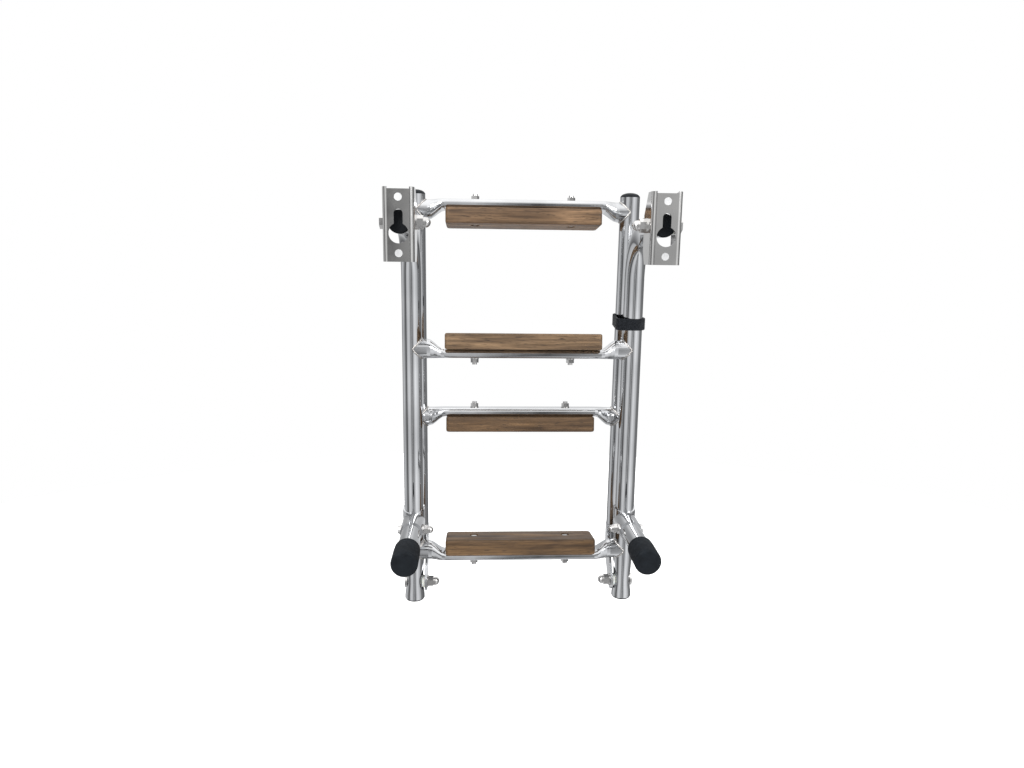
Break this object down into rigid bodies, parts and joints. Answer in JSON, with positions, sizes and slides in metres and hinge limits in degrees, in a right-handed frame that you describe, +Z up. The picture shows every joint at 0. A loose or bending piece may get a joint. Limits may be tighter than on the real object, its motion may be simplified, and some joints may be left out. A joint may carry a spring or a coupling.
{
  "type": "boat boarding ladder",
  "caption": "Folding stainless tube boarding ladder with wooden treads, hung on a transom by two keyhole brackets and held off it by rubber-footed arms.",
  "frame": {"origin": "midpoint between the centres of the two keyholes, on the hull face of the brackets' webs", "axes": "+X to the right as seen from the hull, +Y away from the hull (outboard), +Z up; the ladder is folded for stowage at rest"},
  "size_m": [0.3236, 0.2073, 0.533],
  "materials": {
    "tube_steel": "mirror-polished stainless tube",
    "bracket_steel": "bright-rolled stainless sheet",
    "hardware_steel": "bright stainless fasteners",
    "teak": "oiled open-grained hardwood",
    "black_rubber": "matt black moulded rubber",
    "black_plastic": "black moulded plastic",
    "white_nylon": "natural nylon",
    "black_webbing": "black woven hook-and-loop webbing"
  },
  "bodies": {
    "root": {"bracket_left": "bracket_steel", "bracket_right": "bracket_steel", "bracket_rivets": "hardware_steel", "pivot_bolt_left": "hardware_steel", "pivot_bolt_right": "hardware_steel", "pivot_nut_left": "hardware_steel", "pivot_nut_right": "hardware_steel", "pivot_washers": "white_nylon"},
    "upper_section": {"upper_rail_left": "tube_steel", "upper_rail_right": "tube_steel", "arm_end_plugs": "black_plastic", "stub_plugs": "black_plastic", "rung_4": "tube_steel", "tread_4": "teak", "tread_screws_4": "hardware_steel", "tread_nuts_4": "hardware_steel", "rung_2": "tube_steel", "tread_2": "teak", "tread_screws_2": "hardware_steel", "tread_nuts_2": "hardware_steel", "hinge_bolt_left": "hardware_steel", "hinge_bolt_right": "hardware_steel", "hinge_nut_left": "hardware_steel", "hinge_nut_right": "hardware_steel", "hinge_washers": "white_nylon", "stowage_strap": "black_webbing"},
    "standoff_left": {"standoff_clamp_left": "tube_steel", "standoff_tube_left": "tube_steel", "standoff_foot_left": "black_rubber", "standoff_bolt_left": "hardware_steel", "standoff_nut_left": "hardware_steel"},
    "standoff_right": {"standoff_clamp_right": "tube_steel", "standoff_tube_right": "tube_steel", "standoff_foot_right": "black_rubber", "standoff_bolt_right": "hardware_steel", "standoff_nut_right": "hardware_steel"},
    "lower_section": {"lower_rail_left": "tube_steel", "lower_rail_right": "tube_steel", "hinge_ear_left": "tube_steel", "hinge_ear_right": "tube_steel", "lower_rail_plug_left": "black_plastic", "lower_rail_plug_right": "black_plastic", "rung_3": "tube_steel", "tread_3": "teak", "tread_screws_3": "hardware_steel", "tread_nuts_3": "hardware_steel", "rung_1": "tube_steel", "tread_1": "teak", "tread_screws_1": "hardware_steel", "tread_nuts_1": "hardware_steel"}
  },
  "joints": [
    {"name": "bracket_pivot", "type": "hinge", "parent": "root", "child": "upper_section", "pos_m": [0, 0.023, 0.012], "axis": [1, 0, 0], "range_deg": [0, 90]},
    {"name": "section_fold", "type": "hinge", "parent": "upper_section", "child": "lower_section", "pos_m": [0, 0.145, -0.454], "axis": [-1, 0, 0], "range_deg": [0, 180], "deforming": ["stowage_strap"]},
    {"name": "standoff_left_swivel", "type": "hinge", "parent": "upper_section", "child": "standoff_left", "pos_m": [-0.14, 0.145, 0], "axis": [0, 0, 1], "range_deg": [0, 90]},
    {"name": "standoff_right_swivel", "type": "hinge", "parent": "upper_section", "child": "standoff_right", "pos_m": [0.14, 0.145, 0], "axis": [0, 0, -1], "range_deg": [0, 90]}
  ]
}
